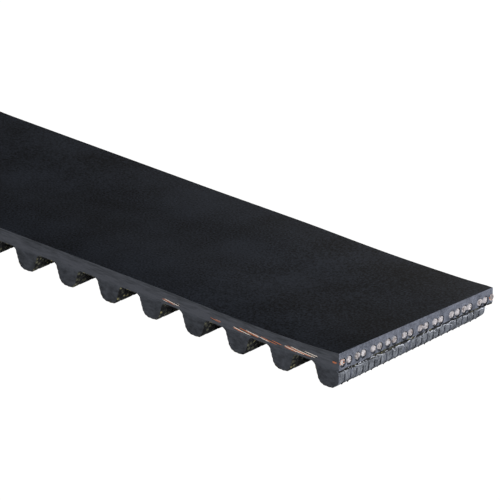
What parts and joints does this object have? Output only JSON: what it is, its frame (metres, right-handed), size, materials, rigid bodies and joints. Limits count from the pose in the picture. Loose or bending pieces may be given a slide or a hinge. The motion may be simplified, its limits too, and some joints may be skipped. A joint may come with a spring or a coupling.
{
  "type": "timing belt",
  "caption": "Cut length of wide rubber timing belt with round-tipped teeth below, a flat matte back and twisted tensile cords showing at the cut end.",
  "frame": {"origin": "under the middle tooth, half way along and across, on the plane that the tooth tips rest on", "axes": "+X along the belt towards the cut end that the cords show at, +Y across the belt, +Z from the teeth to the flat back"},
  "size_m": [0.1028, 0.03, 0.0051],
  "materials": {
    "body_rubber": "matte black chloroprene rubber, lightly ground back",
    "tensile_cord": "twisted cut filaments with an orange-brown adhesive dip",
    "tooth_rubber": "slit charcoal rubber, dull",
    "tooth_facing": "woven nylon facing, rubber-coated, dark with worn yarn crowns"
  },
  "bodies": {
    "pitch_01": {"body_rubber_01": "body_rubber", "tensile_cords_01": "tensile_cord", "tooth_rubber_01": "tooth_rubber", "facing_01": "tooth_facing"},
    "pitch_02": {"body_rubber_02": "body_rubber", "tensile_cords_02": "tensile_cord", "tooth_rubber_02": "tooth_rubber", "facing_02": "tooth_facing"},
    "pitch_03": {"body_rubber_03": "body_rubber", "tensile_cords_03": "tensile_cord", "tooth_rubber_03": "tooth_rubber", "facing_03": "tooth_facing"},
    "pitch_04": {"body_rubber_04": "body_rubber", "tensile_cords_04": "tensile_cord", "tooth_rubber_04": "tooth_rubber", "facing_04": "tooth_facing"},
    "pitch_05": {"body_rubber_05": "body_rubber", "tensile_cords_05": "tensile_cord", "tooth_rubber_05": "tooth_rubber", "facing_05": "tooth_facing"},
    "pitch_06": {"body_rubber_06": "body_rubber", "tensile_cords_06": "tensile_cord", "tooth_rubber_06": "tooth_rubber", "facing_06": "tooth_facing"},
    "pitch_07": {"body_rubber_07": "body_rubber", "tensile_cords_07": "tensile_cord", "tooth_rubber_07": "tooth_rubber", "facing_07": "tooth_facing"},
    "pitch_08": {"body_rubber_08": "body_rubber", "tensile_cords_08": "tensile_cord", "tooth_rubber_08": "tooth_rubber", "facing_08": "tooth_facing"},
    "pitch_09": {"body_rubber_09": "body_rubber", "tensile_cords_09": "tensile_cord", "tooth_rubber_09": "tooth_rubber", "facing_09": "tooth_facing"},
    "pitch_10": {"body_rubber_10": "body_rubber", "tensile_cords_10": "tensile_cord", "tooth_rubber_10": "tooth_rubber", "facing_10": "tooth_facing"},
    "pitch_11": {"body_rubber_11": "body_rubber", "tensile_cords_11": "tensile_cord", "tooth_rubber_11": "tooth_rubber", "facing_11": "tooth_facing"},
    "pitch_12": {"body_rubber_12": "body_rubber", "tensile_cords_12": "tensile_cord", "tooth_rubber_12": "tooth_rubber", "facing_12": "tooth_facing"},
    "pitch_13": {"body_rubber_13": "body_rubber", "tensile_cords_13": "tensile_cord", "tooth_rubber_13": "tooth_rubber", "facing_13": "tooth_facing"}
  },
  "joints": [
    {"name": "land_flex_01", "type": "hinge", "parent": "pitch_02", "child": "pitch_01", "pos_m": [-0.044, 0, 0.00368], "axis": [0, -1, 0], "range_deg": [-8, 16.36], "stiffness_Nm_per_rad": 0.05},
    {"name": "land_flex_02", "type": "hinge", "parent": "pitch_03", "child": "pitch_02", "pos_m": [-0.036, 0, 0.00368], "axis": [0, -1, 0], "range_deg": [-8, 16.36], "stiffness_Nm_per_rad": 0.05},
    {"name": "land_flex_03", "type": "hinge", "parent": "pitch_04", "child": "pitch_03", "pos_m": [-0.028, 0, 0.00368], "axis": [0, -1, 0], "range_deg": [-8, 16.36], "stiffness_Nm_per_rad": 0.05},
    {"name": "land_flex_04", "type": "hinge", "parent": "pitch_05", "child": "pitch_04", "pos_m": [-0.02, 0, 0.00368], "axis": [0, -1, 0], "range_deg": [-8, 16.36], "stiffness_Nm_per_rad": 0.05},
    {"name": "land_flex_05", "type": "hinge", "parent": "pitch_06", "child": "pitch_05", "pos_m": [-0.012, 0, 0.00368], "axis": [0, -1, 0], "range_deg": [-8, 16.36], "stiffness_Nm_per_rad": 0.05},
    {"name": "land_flex_06", "type": "hinge", "parent": "pitch_07", "child": "pitch_06", "pos_m": [-0.004, 0, 0.00368], "axis": [0, -1, 0], "range_deg": [-8, 16.36], "stiffness_Nm_per_rad": 0.05},
    {"name": "land_flex_07", "type": "hinge", "parent": "pitch_07", "child": "pitch_08", "pos_m": [0.004, 0, 0.00368], "axis": [0, 1, 0], "range_deg": [-8, 16.36], "stiffness_Nm_per_rad": 0.05},
    {"name": "land_flex_08", "type": "hinge", "parent": "pitch_08", "child": "pitch_09", "pos_m": [0.012, 0, 0.00368], "axis": [0, 1, 0], "range_deg": [-8, 16.36], "stiffness_Nm_per_rad": 0.05},
    {"name": "land_flex_09", "type": "hinge", "parent": "pitch_09", "child": "pitch_10", "pos_m": [0.02, 0, 0.00368], "axis": [0, 1, 0], "range_deg": [-8, 16.36], "stiffness_Nm_per_rad": 0.05},
    {"name": "land_flex_10", "type": "hinge", "parent": "pitch_10", "child": "pitch_11", "pos_m": [0.028, 0, 0.00368], "axis": [0, 1, 0], "range_deg": [-8, 16.36], "stiffness_Nm_per_rad": 0.05},
    {"name": "land_flex_11", "type": "hinge", "parent": "pitch_11", "child": "pitch_12", "pos_m": [0.036, 0, 0.00368], "axis": [0, 1, 0], "range_deg": [-8, 16.36], "stiffness_Nm_per_rad": 0.05},
    {"name": "land_flex_12", "type": "hinge", "parent": "pitch_12", "child": "pitch_13", "pos_m": [0.044, 0, 0.00368], "axis": [0, 1, 0], "range_deg": [-8, 16.36], "stiffness_Nm_per_rad": 0.05}
  ]
}
